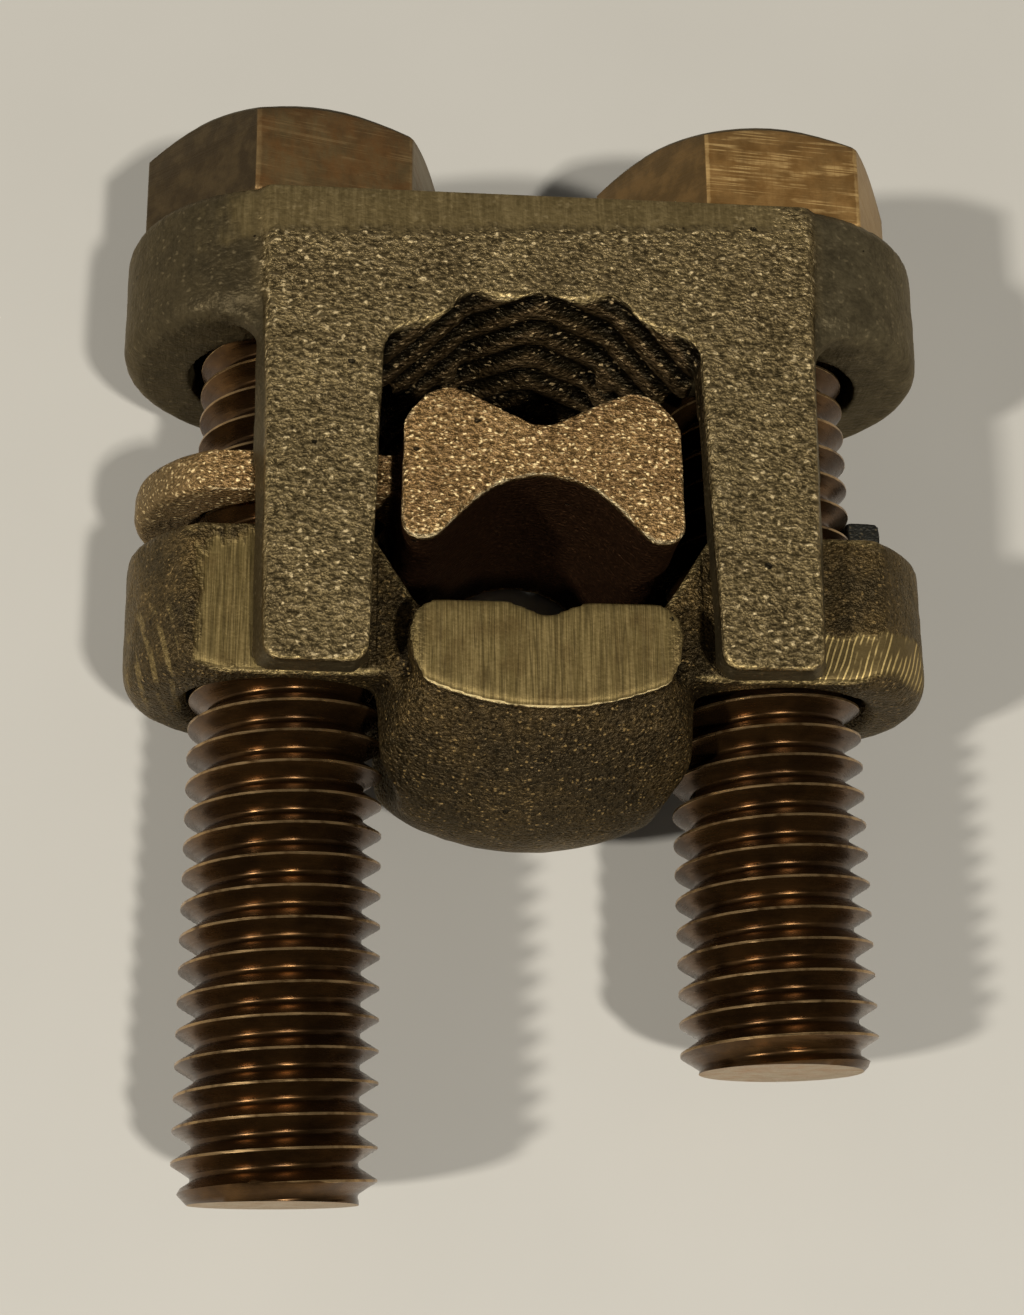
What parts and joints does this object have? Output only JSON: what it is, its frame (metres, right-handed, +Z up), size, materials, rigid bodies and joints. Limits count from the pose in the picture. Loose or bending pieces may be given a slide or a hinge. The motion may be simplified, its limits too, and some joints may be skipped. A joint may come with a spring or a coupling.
{
  "type": "two-bolt mechanical connector",
  "caption": "Cast bronze cable connector: a legged cap with a toothed roof, a grooved spacer and a tapped jaw, drawn together by long hexagon bolts to clamp cables.",
  "frame": {"origin": "middle of the footprint of the connector as it lies on its back on a table", "axes": "+X from the longer bolt to the shorter one, +Y along the bolts towards their heads, +Z up through the front face"},
  "size_m": [0.055, 0.0706, 0.024],
  "materials": {
    "cast_bronze": "sand-cast, dull",
    "spacer_bronze": "sand-cast, bright",
    "bolt_bronze": "tarnished, satin"
  },
  "bodies": {
    "cap": {"cap": "cast_bronze"},
    "jaw": {"jaw": "cast_bronze"},
    "spacer": {"spacer": "spacer_bronze"},
    "left_bolt": {"left_bolt": "bolt_bronze"},
    "right_bolt": {"right_bolt": "bolt_bronze"}
  },
  "joints": [
    {"name": "jaw_slide", "type": "slide", "parent": "cap", "child": "jaw", "axis": [0, 1, 0], "range_m": [-0.01954, 0.00293]},
    {"name": "left_bolt_turn", "type": "hinge", "parent": "cap", "child": "left_bolt", "pos_m": [-0.01588, 0, 0.012], "axis": [0, -1, 0], "range_deg": [-3600, 540]},
    {"name": "right_bolt_turn", "type": "hinge", "parent": "cap", "child": "right_bolt", "pos_m": [0.01588, 0, 0.012], "axis": [0, -1, 0], "range_deg": [-3600, 540]},
    {"name": "spacer_slide", "type": "slide", "parent": "jaw", "child": "spacer", "axis": [0, 1, 0], "range_m": [-0.0019, 0.001]}
  ],
  "couplings": [
    {"joint": "left_bolt_turn", "follows": "jaw_slide", "rad_per_m": 3215.8},
    {"joint": "right_bolt_turn", "follows": "jaw_slide", "rad_per_m": 3215.8}
  ]
}
